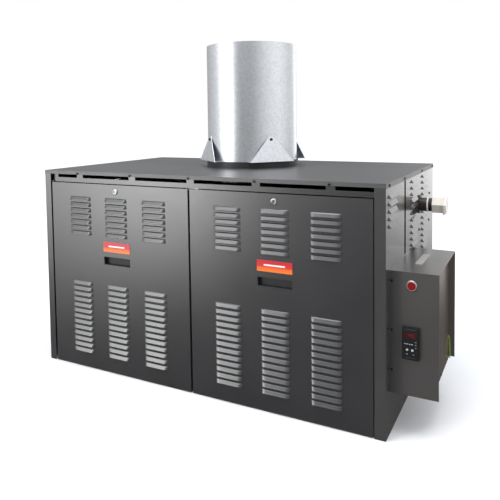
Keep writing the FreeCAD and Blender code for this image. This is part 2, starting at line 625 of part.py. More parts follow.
def finned_tube(at):
    """One copper tube with round fins, lying along X."""
    body = doc.addObject("PartDesign::Body", "Finned_tube")
    length = "chamber_width + 2 * board + 2 * tube_sheet"
    pad = body.newObject("PartDesign::Revolution", "Tube")
    pad.Profile = outline(body, "XZ_Plane", [
        ("tube_radius - tube_wall", "0"), ("tube_radius", "0"), ("tube_radius", length),
        ("tube_radius - tube_wall", length)])
    pad.ReferenceAxis = (pad.Profile[0], ["V_Axis"])
    fin = body.newObject("PartDesign::Revolution", "Fin")
    start = "tube_sheet + board + fin_end_gap"
    fin.Profile = outline(body, "XZ_Plane", [
        ("tube_radius - 0.5", start), ("fin_radius", start),
        ("fin_radius", f"{start} + fin_thickness"),
        ("tube_radius - 0.5", f"{start} + fin_thickness")])
    fin.ReferenceAxis = (fin.Profile[0], ["V_Axis"])
    pattern = body.newObject("PartDesign::LinearPattern", "Fins")
    pattern.Originals = [fin]
    pattern.Direction = (plane_of(body, "Z_Axis"), [""])
    pattern.Mode = "Spacing"
    bind(pattern, "Offset", "fin_pitch")
    bind(pattern, "Occurrences", "floor((chamber_width - 2 * fin_end_gap) / fin_pitch)")
    body.Tip = pattern
    return place(body, at, TURNS["x"])


def heat_exchanger():
    """Row of finned tubes between tube sheets, with a header casting on each end."""
    start = "-(chamber_width / 2 + board + tube_sheet)"
    tubes = [finned_tube((start, f"{HOOD_Y} + {row}", "tube_height")) for row in TUBE_ROWS]
    node("finned_tubes", gathered(*tubes))
    inside = "chamber_width / 2 + board"
    low_y, high_y = f"{HOOD_Y} - header_width / 2", f"{HOOD_Y} + header_width / 2"
    plates, seals, stands = [], [], []
    for side, sign in (("left", "-1"), ("right", "1")):
        low, high = sorted_pair(sign, inside, f"{inside} + tube_sheet")
        plate = box((low, low_y, "header_bottom"), (high, high_y, "header_top"))
        drilled = [rod("tube_radius", "tube_sheet + 10",
                       (f"({low}) - 5", f"{HOOD_Y} + {row}", "tube_height"), "x")
                   for row in TUBE_ROWS]
        plates.append(without(plate, *drilled))
        low, high = sorted_pair(sign, f"{inside} + tube_sheet", f"{inside} + tube_sheet + gasket")
        seal = box((low, low_y, "header_bottom"), (high, high_y, "header_top"))
        window = box((f"({low}) - 1", f"{low_y} + header_margin", "header_bottom + header_margin"),
                     (f"({high}) + 1", f"{high_y} - header_margin", "header_top - header_margin"))
        seals.append(without(seal, window))
        stand_low, stand_high = sorted_pair(sign, inside, f"{inside} + tube_sheet")
        outer = box((stand_low, low_y, "steel"), (stand_high, high_y, "header_bottom"))
        hollow_low, hollow_high = sorted_pair(
            sign, f"{inside} + stand_wall", f"{inside} + tube_sheet + 1")
        hollow = box((hollow_low, f"{low_y} + stand_wall", "steel + stand_wall"),
                     (hollow_high, f"{high_y} - stand_wall", "header_bottom - stand_wall"))
        stands.append(without(outer, hollow))
        header_casting(side, sign, inside, low_y, high_y)
    node("tube_sheets", gathered(*plates))
    node("header_gaskets", gathered(*seals))
    node("exchanger_stands", gathered(*stands))


def header_casting(side, sign, inside, low_y, high_y):
    """Cast water header: a hollow box with one pipe port, low on the left and high on the right."""
    near, wall = f"{inside} + tube_sheet + gasket", "header_wall"
    low, high = sorted_pair(sign, near, f"{near} + header_casting")
    body = box((low, low_y, "header_bottom"), (high, high_y, "header_top"))
    low, high = sorted_pair(sign, f"{near} - 1", f"{near} + header_casting - {wall}")
    room = box((low, f"{low_y} + header_margin", "header_bottom + header_margin"),
               (high, f"{high_y} - header_margin", "header_top - header_margin"))
    label, level = (("return_header", "return_height") if side == "left"
                    else ("flow_header", "water_height"))
    start, _ = sorted_pair(sign, f"{near} + header_casting - {wall} - 1",
                           f"{near} + header_casting + 1")
    port = rod("nipple_radius", f"{wall} + 2", (start, "water_y", level), "x")
    node(label, without(body, room, port))


def draft_hood():
    """Skirt and sloping hood that lead the flue gas into the vent pipe."""
    half, deep = "chamber_width / 2 + board", "chamber_depth / 2 + board"

    def slope(inset, top):
        item = doc.addObject("Part::Wedge", "Hood_slope")
        values = {
            "Xmin": f"-({half}) + {inset}", "Xmax": f"{half} - {inset}",
            "Zmin": f"-({deep}) + {inset}", "Zmax": f"{deep} - {inset}",
            "Ymin": "0", "Ymax": top,
            "X2min": f"-hood_outlet / 2 + {inset}", "X2max": f"hood_outlet / 2 - {inset}",
            "Z2min": f"chamber_centre_y - vent_centre_y - hood_outlet / 2 + {inset}",
            "Z2max": f"chamber_centre_y - vent_centre_y + hood_outlet / 2 - {inset}",
        }
        for name, expression in values.items():
            bind(item, name, expression)
        return place(item, ("0", HOOD_Y, "hood_break"), TURNS["-y"])

    def skirt(inset, low, high):
        return box((f"-({half}) + {inset}", f"{HOOD_Y} - ({deep}) + {inset}", low),
                   (f"{half} - {inset}", f"{HOOD_Y} + {deep} - {inset}", high))

    bottom = "tube_height - fin_radius"
    outer = joined(skirt("0", bottom, "hood_break"), slope("0", "hood_top - hood_break"))
    inner = joined(skirt("steel", f"{bottom} - 1", "hood_break"),
                   slope("steel", "hood_top - hood_break - steel"))
    outlet = rod("vent_radius - vent_wall", "20", ("0", "vent_centre_y", "hood_top - 10"))
    passages = [rod("tube_radius + 0.5", f"2 * ({half}) + 10",
                    (f"-({half}) - 5", f"{HOOD_Y} + {row}", "tube_height"), "x")
                for row in TUBE_ROWS]
    return node("draft_hood", without(outer, inner, outlet, *passages))


# ---- burner assembly --------------------------------------------------------------------------
def burner_assembly():
    """Tray with two racks, twelve tube burners, manifold and gas spuds."""
    half = "chamber_width / 2 - 2"
    front, back = "-burner_front - 20", "burner_back"
    plate = box((f"-({half})", front, "steel"), (half, back, "tray_height"))
    under = box((f"-({half}) + steel", f"{front} - 1", "0"),
                (f"{half} - steel", f"{back} + 1", "tray_height - steel"))
    racks = []
    for y in ("-rack_front", "rack_back"):
        rack = box((f"-({half})", y, "tray_height"),
                   (half, f"{y} + rack_thickness", "burner_height + rack_rise"))
        bores = [rod("burner_radius", "10", (x, f"{y} - 4", "burner_height"), "y") for x in BURNERS]
        racks.append(without(rack, *bores))
    node("burner_tray", joined(without(plate, under), *racks))
    burners, spuds = [], []
    for x in BURNERS:
        length = "burner_front - venturi_length + burner_back - 6"
        start = "-burner_front + venturi_length"
        shell = joined(rod("burner_radius", length, (x, start, "burner_height"), "y"),
                       cone("venturi_radius", "burner_radius", "venturi_length",
                            (x, "-burner_front", "burner_height"), "y"))
        bore = joined(rod("burner_radius - burner_wall", f"{length} - burner_wall",
                          (x, start, "burner_height"), "y"),
                      cone("venturi_radius - burner_wall", "burner_radius - burner_wall",
                           "venturi_length", (x, "-burner_front", "burner_height"), "y"))
        flame_slot = box((f"{x} - flame_slot / 2", "-rack_front + 20",
                          "burner_height + burner_radius - 4"),
                         (f"{x} + flame_slot / 2", "rack_back - 15",
                          "burner_height + burner_radius + 2"))
        burners.append(without(shell, bore, flame_slot))
        spuds.append(turned(
            [("1.2", "0"), ("6", "0"), ("6", "10"), ("4", "16"), ("1.2", "16")],
            (x, f"{FRONT} + manifold_setback + manifold_radius", "burner_height"), "y"))
    node("burner_tubes", gathered(*burners))
    node("gas_spuds", gathered(*spuds))
    manifold_y = f"{FRONT} + manifold_setback"
    bar = rod("manifold_radius", "manifold_length", ("-manifold_length / 2", manifold_y,
                                                     "burner_height"), "x")
    bore = rod("manifold_radius - manifold_wall", "manifold_length - 2 * manifold_wall",
               ("-manifold_length / 2 + manifold_wall", manifold_y, "burner_height"), "x")
    node("gas_manifold", without(bar, bore))


def gas_train():
    """Supply pipe, shut-off cock, two gas valves and the drop to the manifold."""
    y, level = f"{FRONT} + manifold_setback", "supply_height"
    half = "cock_length / 2"
    inlet, *links = [
        tube("supply_radius", "supply_wall", f"({end}) - ({start})", (start, y, level), "x")
        for start, end in (
            (f"-{X_MAX} - supply_stub", f"cock_x - {half}"),
            (f"cock_x + {half}", "valve_one_x - valve_width / 2"),
            ("valve_one_x + valve_width / 2", "valve_two_x - valve_width / 2"))]
    node("gas_inlet_pipe", inlet)
    body = joined(rod("cock_radius", "cock_length", (f"cock_x - {half}", y, level), "x"),
                  rod("bonnet_radius", "bonnet_length", ("cock_x", y, level), "-y"))
    passage = rod("cock_bore", "cock_length + 2", (f"cock_x - {half} - 1", y, level), "x")
    stem_hole = rod("stem_radius + turn_clearance", "bonnet_length",
                    ("cock_x", f"{y} - stem_radius", level), "-y")
    node("gas_cock_body", without(body, passage, stem_hole))
    stem = rod("stem_radius", "bonnet_length - 8", ("cock_x", f"{y} - 14", level), "-y")
    grip = box(("cock_x - lever_width / 2", f"{y} - bonnet_length - 2 - lever_thickness",
                f"{level} - lever_width / 2"),
               ("cock_x + lever_length", f"{y} - bonnet_length - 2", f"{level} + lever_width / 2"))
    node("gas_cock_lever", joined(stem, grip))
    valves = []
    for label, centre in (("first", "valve_one_x"), ("second", "valve_two_x")):
        low = (f"{centre} - valve_width / 2", f"{y} - valve_body_depth / 2",
               f"{level} - valve_body_height / 2")
        high = (f"{centre} + valve_width / 2", f"{y} + valve_body_depth / 2",
                f"{level} + valve_body_height / 2")
        top = f"{level} + valve_body_height / 2"
        pocket = rod("knob_stem + turn_clearance", "16", (centre, y, f"{top} - 14"))
        passage = rod("12", "valve_width + 2", (f"{low[0]} - 1", y, level), "x")
        valves.append(without(box(low, high), passage, pocket))
        knob = turned([("0", "-12"), ("knob_stem", "-12"), ("knob_stem", "1"), ("knob_radius", "1"),
                       ("knob_radius - 2", "knob_height"), ("0", "knob_height")],
                      (centre, y, top))
        node(f"{label}_valve_knob", knob)
    node("gas_valves", gathered(*valves))
    start = "valve_two_x + valve_width / 2"
    run = rod("supply_radius", f"riser_x - ({start})", (start, y, level), "x")
    elbow = rod("supply_radius + 4", "supply_radius * 2 + 8",
                ("riser_x", y, f"{level} - supply_radius - 4"))
    drop = rod("supply_radius", f"{level} - burner_height - manifold_radius + 4",
               ("riser_x", y, "burner_height + manifold_radius - 4"))
    run_bore = rod("supply_radius - supply_wall", f"riser_x - ({start}) + 1",
                   (f"{start} - 1", y, level), "x")
    clear = rod("manifold_radius", "200", ("riser_x - 100", y, "burner_height"), "x")
    drop_pipe = without(joined(run, elbow, drop), run_bore, clear)
    node("gas_pipes", gathered(*links, drop_pipe))


def pilot():
    """Pilot burner on the front rack with its spark electrode."""
    x, y = "burner_pitch", "-rack_front - 14"
    bracket = box((f"{x} - 22", y, "burner_height + 22"),
                  (f"{x} + 22", "-rack_front", "burner_height + 26"))
    nozzle = rod("5", "26", (f"{x} - 10", f"{y} + 6", "burner_height + 26"))
    electrode = rod("3", "30", (f"{x} + 10", f"{y} + 6", "burner_height + 26"))
    node("pilot_burner", gathered(joined(bracket, nozzle), electrode))


# ---- water connection -------------------------------------------------------------------------
def hexagon(radius, length, at, axis):
    """A hexagonal block from a point along an axis, turned so that no flat faces straight up."""
    item = doc.addObject("Part::Prism", "Hexagon")
    item.Polygon = 6
    bind(item, "Circumradius", radius)
    bind(item, "Height", length)
    twist = FreeCAD.Rotation(FreeCAD.Vector(1, 0, 0), size("hexagon_turn"))
    return place(item, at, twist * TURNS[axis])


def water_connection():
    """Nipple out of the flow header, with locknut, washer, ring, union and cap."""
    start = "chamber_width / 2 + board + tube_sheet + gasket + header_casting - header_wall"
    end, bore = f"{X_MAX} + nipple_reach", "nipple_radius - pipe_wall"
    at = ("water_y", "water_height")
    nipple = joined(rod("nipple_radius", f"{end} - ({start})", (start, *at), "x"),
                    rod("locknut_radius", "locknut_length", (f"{X_MAX} + locknut_gap", *at), "x"))
    node("water_nipple", without(nipple, rod(bore, f"{end} - ({start})", (start, *at), "x")))
    for label, kind, block in (("sealing_washer", "washer", rod), ("clamp_ring", "clamp", rod),
                               ("union_body", "union", hexagon), ("union_nut", "nut", hexagon)):
        outside = block(f"{kind}_radius", f"{kind}_length", (end, *at), "x")
        node(label, without(outside, rod(bore, f"{kind}_length", (end, *at), "x")))
        end += f" + {kind}_length"
    cap = hexagon("cap_radius", "cap_length", (end, *at), "x")
    recess = rod(bore, "cap_length / 2", (f"{end} - 0.01", *at), "x")
    node("hexagon_cap", without(cap, recess))


# ---- control box ------------------------------------------------------------------------------
def control_box():
    """Wrap-round cover, recessed end plate and back plate of the control box."""
    outer = box((X_MAX, BOX_FRONT, "box_bottom"), (BOX_X, BOX_BACK, "box_top"))
    inner = box((f"{X_MAX} - 1", f"{BOX_FRONT} + steel", "box_bottom - 1"),
                (f"{BOX_X} + 1", f"{BOX_BACK} - steel", "box_top - steel"))
    trim = box((f"{X_MAX} - 1", f"{BOX_BACK} - 10", "box_bottom - 1"),
               (f"{BOX_X} + 1", f"{BOX_BACK} + 1", "box_bottom + 8"))
    window = box((f"{X_MAX} + controller_x - controller_width / 2 + 1.5", f"{BOX_FRONT} - 5",
                  "controller_z - controller_height / 2 + 2"),
                 (f"{X_MAX} + controller_x + controller_width / 2 - 1.5", f"{BOX_FRONT} + 5",
                  "controller_z + controller_height / 2 - 2"))
    hole = rod("button_radius + 1", "20",
               (f"{X_MAX} + button_x", f"{BOX_FRONT} - button_proud", "button_z"), "y")
    drilled = holes(cover_spots(), "-y", "small")
    node("control_box_cover", without(outer, inner, trim, window, hole, *drilled))
    inside_y = (f"{BOX_FRONT} + steel", f"{BOX_BACK} - steel")
    end_x = f"{BOX_X} - box_side_recess"
    end = box((f"{end_x} - steel", inside_y[0], "box_bottom + 7"),
              (end_x, inside_y[1], "box_top - steel"))
    floor = box((X_MAX, inside_y[0], "box_bottom + 7"),
                (f"{end_x} - steel", inside_y[1], "box_bottom + 7 + steel"))
    back = box((X_MAX, inside_y[0], "box_bottom + 7"),
               (f"{X_MAX} + steel", inside_y[1], "box_top - steel"))
    duct = wire_duct()
    drilled = holes(end_plate_spots(), "x", "small")
    node("control_box_chassis", without(joined(floor, back, end), duct, *drilled))


def controller():
    """Panel-mounted temperature controller with a window and two keys."""
    x, z = f"{X_MAX} + controller_x", "controller_z"
    half, tall = "controller_width / 2", "controller_height / 2"
    face = f"{BOX_FRONT} - controller_reach"
    bezel = box((f"{x} - {half}", face, f"{z} - {tall}"), (f"{x} + {half}", BOX_FRONT, f"{z} + {tall}"))
    trunk = box((f"{x} - {half} + 1.5", f"{BOX_FRONT} - 1", f"{z} - {tall} + 2"),
                (f"{x} + {half} - 1.5", f"{BOX_FRONT} + controller_body", f"{z} + {tall} - 2"))
    pane = ((f"{x} - {half} + window_margin", f"{z} + window_rise"),
            (f"{x} + {half} - window_margin", f"{z} + {tall} - window_drop"))
    recess = box((pane[0][0], f"{face} - 1", pane[0][1]), (pane[1][0], f"{face} + 2", pane[1][1]))
    wells = []
    for side, sign in (("left", "-"), ("right", "+")):
        key_x = f"{x} - 1.5 {sign} key_spread / 2"
        wells.append(rod("key_radius + turn_clearance", "key_length + key_travel + 1",
                         (key_x, f"{face} - 1", "key_z"), "y"))
        node(f"{side}_controller_key", rod("key_radius", "key_length",
                                           (key_x, f"{face} - 1.5", "key_z"), "y"))
    node("temperature_controller", without(joined(bezel, trunk), recess, *wells))
    node("display_window", box((pane[0][0], f"{face} + 0.5", pane[0][1]),
                               (pane[1][0], f"{face} + 2", pane[1][1])))


def push_button():
    """Round illuminated push button with its metal rim."""
    x, z = f"{X_MAX} + button_x", "button_z"
    rim = turned([("button_radius - 1 + turn_clearance", "0"), ("button_rim - 2", "0"),
                  ("button_rim", "2"), ("button_rim", "button_proud"),
                  ("button_radius + 1", "button_proud"),
                  ("button_radius + 1", "34"), ("button_radius - 1 + turn_clearance", "34")],
                 (x, f"{BOX_FRONT} - button_proud", z), "y")
    node("button_rim", rim)
    node("button_cap", rod("button_radius - 1", "26",
                           (x, f"{BOX_FRONT} - button_proud - button_lip", z), "y"))


def electrics():
    """Ignition module on the back plate of the box and the earth wire out of its open bottom."""
    wall = f"{X_MAX} + steel"
    node("ignition_module", box(
        (wall, f"{BOX_BACK} - module_offset - module_width", "box_bottom + module_rise"),
        (f"{wall} + module_depth", f"{BOX_BACK} - module_offset",
         "box_bottom + module_rise + module_height")))
    end_x = f"{BOX_X} - box_side_recess"
    y = f"{BOX_BACK} - earth_offset"
    lug = rod("5", "2", (end_x, y, "box_bottom + earth_rise"), "x")
    route = [(3.5, 0, 0), (3.5, 0, -26), (5.5, 1, -52), (4.0, 4, -74)]
    wire = doc.addObject("Part::Feature", "Wire")
    wire.Shape = bent_wire([FreeCAD.Vector(*p) for p in route], size("earth_radius"))
    place(wire, (end_x, y, "box_bottom + earth_rise"))
    node("earth_wire", joined(lug, wire))


def bent_wire(points, radius):
    """A round wire of straight runs joined by tangent arcs."""
    edges, last = [], points[0]
    for before, here, after in zip(points, points[1:], points[2:]):
        inward, outward = (here - before).normalize(), (after - here).normalize()
        turn = inward.getAngle(outward)
        run = min((here - before).Length, (after - here).Length)
        arc_start, arc_end = here - inward * 0.45 * run, here + outward * 0.45 * run
        bend = 0.45 * run / math.tan(turn / 2)
        inside = (outward - inward).normalize()
        middle = here + inside * (bend / math.cos(turn / 2) - bend)
        edges += [Part.LineSegment(last, arc_start).toShape(),
                  Part.Arc(arc_start, middle, arc_end).toShape()]
        last = arc_end
    edges.append(Part.LineSegment(last, points[-1]).toShape())
    spine = Part.Wire(edges)
    ring = Part.Wire([Part.Circle(points[0], (points[1] - points[0]).normalize(), radius).toShape()])
    return spine.makePipeShell([ring], True, False)


def fasteners(stay_screws):
    """Pan-head screws of the casing, with the screws that hold the vent stays."""
    made = screws(lip_spots(), "-y") + screws(side_spots("1"), "x") + screws(side_spots("-1"), "-x")
    made += screws(stay_bar_spots(), "x")
    made += screws(cover_spots(), "-y", "small") + screws(end_plate_spots(), "x", "small")
    node("casing_screws", gathered(*made, *stay_screws))


def build():
    """Makes every sub-part."""
    base_pan()
    top_panel()
    side_panels()
    rear_panel()
    header_rail()
    centre_mullion()
    doors()
    pivot_pins()
    stay_screws = vent()
    combustion_chamber()
    heat_exchanger()
    draft_hood()
    burner_assembly()
    gas_train()
    pilot()
    water_connection()
    control_box()
    controller()
    push_button()
    electrics()
    fasteners(stay_screws)


def check_and_write():
    """Refuses a failed feature or a broken shape, then writes one file for each sub-part."""
    doc.recompute()
    failed = [o.Label for o in doc.Objects if {"Invalid", "Error"} & set(o.State)]
    if failed:
        raise RuntimeError(f"failed features: {failed}")
    for label, item in NODES.items():
        if item.Shape.isNull() or not item.Shape.isValid() or not item.Shape.Solids:
            raise RuntimeError(f"broken shape: {label}")
    os.makedirs("parts", exist_ok=True)
    for label, item in NODES.items():
        item.Shape.exportStep(f"parts/{label}.step")
        print(label, len(item.Shape.Solids), round(item.Shape.Volume / 1000, 1))


build()
check_and_write()
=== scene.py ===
"""Looks of a floor-standing gas water heater: charcoal cabinet, louvred doors, flue pipe and control box.

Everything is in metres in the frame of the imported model: +Z up, -Y the front, +X the control box side.
"""
import json
import math

import bpy
import numpy as np
from mathutils import Matrix, Vector


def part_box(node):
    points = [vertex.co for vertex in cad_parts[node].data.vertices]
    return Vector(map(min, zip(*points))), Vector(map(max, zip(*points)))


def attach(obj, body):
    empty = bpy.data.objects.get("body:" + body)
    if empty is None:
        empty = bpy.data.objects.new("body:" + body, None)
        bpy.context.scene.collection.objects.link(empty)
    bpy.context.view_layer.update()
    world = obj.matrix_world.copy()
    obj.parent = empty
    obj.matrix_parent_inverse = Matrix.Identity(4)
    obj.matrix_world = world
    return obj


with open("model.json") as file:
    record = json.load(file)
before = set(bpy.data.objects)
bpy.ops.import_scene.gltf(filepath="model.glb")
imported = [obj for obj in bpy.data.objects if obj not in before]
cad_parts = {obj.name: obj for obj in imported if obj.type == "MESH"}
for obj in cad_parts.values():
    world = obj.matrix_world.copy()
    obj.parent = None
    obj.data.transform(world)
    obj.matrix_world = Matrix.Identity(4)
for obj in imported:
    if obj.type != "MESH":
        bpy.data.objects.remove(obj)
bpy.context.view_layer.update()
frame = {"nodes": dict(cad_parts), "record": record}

MM = 0.001


# ---- camera -----------------------------------------------------------------------------------
CAMERA_AT = Vector((1.073, -1.993, 0.952))
CAMERA_TURN_LEFT = math.radians(27.43)
CAMERA_LOOK_DOWN = math.radians(3.12)
CAMERA_ROLL = math.radians(-0.76)
FOCAL_MM = 40.6
SHIFT_UP = -0.2


def place_camera():
    """A level shift-lens view from the front right, a little above the lid."""
    turn, down, roll = CAMERA_TURN_LEFT, CAMERA_LOOK_DOWN, CAMERA_ROLL
    ahead = Vector((-math.sin(turn) * math.cos(down), math.cos(turn) * math.cos(down),
                    -math.sin(down)))
    level = Vector((math.cos(turn), math.sin(turn), 0.0))
    above = level.cross(ahead)
    right = level * math.cos(roll) + above * math.sin(roll)
    up = above * math.cos(roll) - level * math.sin(roll)
    data = bpy.data.cameras.new("camera")
    data.lens = FOCAL_MM
    data.shift_y = SHIFT_UP
    camera = bpy.data.objects.new("camera", data)
    rotation = Matrix((right, up, -ahead)).transposed().to_4x4()
    camera.matrix_world = Matrix.Translation(CAMERA_AT) @ rotation
    bpy.context.collection.objects.link(camera)
    bpy.context.scene.camera = camera


place_camera()


# ---- material tools ---------------------------------------------------------------------------
def linear(code):
    """An sRGB hex colour as linear red, green, blue and full alpha."""
    parts = [int(code[i:i + 2], 16) / 255 for i in (1, 3, 5)]
    return tuple(p / 12.92 if p <= 0.04045 else ((p + 0.055) / 1.055) ** 2.4 for p in parts) + (1,)


def add(tree, kind, *feeds, stops=(), **named):
    """Adds a shader node. Feeds fill its inputs in order and capitalised names fill them by name,
    each with a value, a socket or a node's first output; lower-case names set its properties."""
    made = tree.nodes.new("ShaderNode" + kind)
    fills = dict(enumerate(feeds))
    for name, value in named.items():
        if name[0].isupper():
            fills[name.replace("_", " ")] = value
        else:
            setattr(made, name, value)
    for place, value in fills.items():
        value = value.outputs[0] if isinstance(value, bpy.types.Node) else value
        if isinstance(value, bpy.types.NodeSocket):
            tree.links.new(value, made.inputs[place])
        else:
            made.inputs[place].default_value = value
    for i, (position, colour) in enumerate(stops):
        elements = made.color_ramp.elements
        element = elements[i] if i < len(elements) else elements.new(position)
        element.position = position
        element.color = linear(colour) if isinstance(colour, str) else (colour,) * 3 + (1,)
    return made


def blank(name):
    """A named material with an empty tree, and the object coordinates its patterns hang on."""
    material = bpy.data.materials.new(name)
    material.use_nodes = True
    tree = material.node_tree
    tree.nodes.clear()
    return material, tree, add(tree, "TexCoord").outputs["Object"]


# ---- materials --------------------------------------------------------------------------------
# Pattern sizes are distances between features; heights and depths are those of the surface itself.
LACQUER_ROUGHNESS = 0.3
CRYSTAL_WARP = 0.012


def powder_coat(name, light, dark, gloss, ior=1.8, lacquer=0.0):
    """Charcoal polyester powder coat on sheet steel, electrostatically sprayed and baked.

    It gives the eye a broad soft highlight, faint orange peel and a tone that drifts slowly.
    """
    material, tree, where = blank(name)
    cloud = add(tree, "TexNoise", Vector=where, Scale=1 / (260 * MM), Detail=3.0)
    grit = add(tree, "TexNoise", Vector=where, Scale=1 / (2.6 * MM), Detail=2.0)
    speck = add(tree, "MapRange", grit, To_Min=-0.08, To_Max=0.08)
    tone = add(tree, "Math", cloud, speck, operation="ADD")
    colour = add(tree, "ValToRGB", tone, stops=[(0.32, dark), (0.68, light)])
    # Orange peel: ripples 4.5 mm apart and 0.012 mm deep.
    ripple = add(tree, "TexNoise", Vector=where, Scale=1 / (4.5 * MM), Detail=1.0)
    peel = add(tree, "Bump", Height=ripple, Distance=0.012 * MM, Strength=0.3)
    rub = add(tree, "TexNoise", Vector=where, Scale=1 / (90 * MM), Detail=2.0)
    dull = add(tree, "MapRange", rub, To_Min=gloss - 0.02, To_Max=gloss + 0.03)
    paint = add(tree, "BsdfPrincipled", Base_Color=colour, Metallic=0.0, IOR=ior, Normal=peel,
                Roughness=dull, Coat_Weight=lacquer, Coat_Roughness=LACQUER_ROUGHNESS)
    add(tree, "OutputMaterial", paint)
    return material


def galvanised(name, light, dark, rough, spangle_mm=7):
    """Hot-dip galvanised sheet: zinc crystals of a few millimetres, each with its own sheen.

    Rolling leaves faint upright streaks about 60 mm apart across the crystals.
    """
    material, tree, where = blank(name)
    warp = add(tree, "TexNoise", Vector=where, Scale=1 / (spangle_mm * 1.6 * MM))
    moved = add(tree, "MixRGB", CRYSTAL_WARP, where, warp.outputs["Color"], blend_type="ADD")
    crystals = add(tree, "TexVoronoi", Vector=moved, Scale=1 / (spangle_mm * MM))
    grain = add(tree, "SeparateColor", crystals.outputs["Color"])
    upright = add(tree, "Mapping", where, Scale=(1.0, 1.0, 0.12))
    streak = add(tree, "TexNoise", Vector=upright, Scale=1 / (60 * MM), Detail=4.0)
    shift = add(tree, "MapRange", streak, To_Min=-0.35, To_Max=0.35)
    tone = add(tree, "Math", grain, shift, operation="ADD")
    colour = add(tree, "ValToRGB", tone, stops=[(0.0, dark), (1.0, light)])
    soft = add(tree, "TexNoise", Vector=upright, Scale=1 / (spangle_mm * 4 * MM), Detail=1.0)
    facets = add(tree, "Bump", Height=soft, Distance=0.05 * MM, Strength=0.15)
    sheen = add(tree, "MapRange", streak, To_Min=rough - 0.05, To_Max=rough + 0.05)
    zinc = add(tree, "BsdfPrincipled", Base_Color=colour, Metallic=1.0, Normal=facets,
               Roughness=sheen)
    add(tree, "OutputMaterial", zinc)
    return material


def metal(name, light, dark, rough, grain_mm=1.5, stretch=(1, 1, 1), depth_mm=0.02):
    """Bare metal whose tone and polish vary with a fine grain, drawn out where it was rolled."""
    material, tree, where = blank(name)
    drawn = add(tree, "Mapping", where, Scale=stretch)
    grain = add(tree, "TexNoise", Vector=drawn, Scale=1 / (grain_mm * MM), Detail=3.0)
    colour = add(tree, "ValToRGB", grain, stops=[(0.3, dark), (0.7, light)])
    scratches = add(tree, "Bump", Height=grain, Distance=depth_mm * MM, Strength=0.3)
    polish = add(tree, "MapRange", grain, To_Min=rough - 0.05, To_Max=rough + 0.08)
    bare = add(tree, "BsdfPrincipled", Base_Color=colour, Metallic=1.0, Normal=scratches,
               Roughness=polish)
    add(tree, "OutputMaterial", bare)
    return material


def moulded(name, light, dark, rough, grain_mm, depth_mm, metallic=0.0, gloss=0.5):
    """Cast, pressed or moulded surface: one grain in tone, height and dullness together."""
    material, tree, where = blank(name)
    grain = add(tree, "TexNoise", Vector=where, Scale=1 / (grain_mm * MM), Detail=4.0)
    wide = add(tree, "TexNoise", Vector=where, Scale=1 / (grain_mm * 30 * MM), Detail=2.0)
    shift = add(tree, "MapRange", wide, To_Min=-0.2, To_Max=0.2)
    tone = add(tree, "Math", grain, shift, operation="ADD")
    colour = add(tree, "ValToRGB", tone, stops=[(0.3, dark), (0.7, light)])
    skin = add(tree, "Bump", Height=grain, Distance=depth_mm * MM, Strength=0.5)
    dull = add(tree, "MapRange", grain, To_Min=rough - 0.05, To_Max=rough + 0.08)
    body = add(tree, "BsdfPrincipled", Base_Color=colour, Metallic=metallic, IOR=1.5, Normal=skin,
               Roughness=dull, Specular_IOR_Level=gloss)
    add(tree, "OutputMaterial", body)
    return material


# The badge's pale bar, in shares of the plate: its middle's height, and half its height and length.
BAR_RISE, BAR_HALF_HEIGHT, BAR_HALF_LENGTH = 0.58, 0.07, 0.3


def badge_print(name, node):
    """Screen-printed name plate left blank: red above orange, a plain pale bar, clear lacquer."""
    material, tree, where = blank(name)
    low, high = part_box(node)
    axes = add(tree, "SeparateXYZ", where).outputs
    rise = add(tree, "MapRange", axes["Z"], From_Min=low[2], From_Max=high[2])
    along = add(tree, "MapRange", axes["X"], From_Min=low[0], From_Max=high[0])
    ink = add(tree, "ValToRGB", rise, stops=[(0.0, "#e0771f"), (0.36, "#dc5a22"),
                                             (0.46, "#c02a28"), (1.0, "#b52130")])
    # The bar covers the middle three fifths of the plate and a seventh of its height.
    off_line = add(tree, "Math", rise, BAR_RISE, operation="SUBTRACT")
    near = add(tree, "Math", off_line, operation="ABSOLUTE")
    in_bar = add(tree, "Math", near, BAR_HALF_HEIGHT, operation="LESS_THAN")
    off_centre = add(tree, "Math", along, 0.5, operation="SUBTRACT")
    aside = add(tree, "Math", off_centre, operation="ABSOLUTE")
    central = add(tree, "Math", aside, BAR_HALF_LENGTH, operation="LESS_THAN")
    printed = add(tree, "Math", in_bar, central, operation="MULTIPLY")
    colour = add(tree, "MixRGB", printed, ink, linear("#e9ddd8"))
    dots = add(tree, "TexNoise", Vector=where, Scale=1 / (0.8 * MM), Detail=1.0)
    screen = add(tree, "Bump", Height=dots, Distance=0.01 * MM, Strength=0.2)
    gloss = add(tree, "MapRange", dots, To_Min=0.24, To_Max=0.34)
    plate = add(tree, "BsdfPrincipled", Base_Color=colour, Metallic=0.0, IOR=1.46, Roughness=gloss,
                Normal=screen, Coat_Weight=0.4)
    add(tree, "OutputMaterial", plate)
    return material


def lit_segments(name, light, dark, strength):
    """Light-emitting segments under tinted acrylic: each glows a little unevenly."""
    material, tree, where = blank(name)
    mottle = add(tree, "TexNoise", Vector=where, Scale=1 / (1.0 * MM), Detail=1.0)
    colour = add(tree, "ValToRGB", mottle, stops=[(0.3, dark), (0.7, light)])
    lamp = add(tree, "BsdfPrincipled", Base_Color=colour, Roughness=0.3, Emission_Color=colour,
               Emission_Strength=strength)
    add(tree, "OutputMaterial", lamp)
    return material


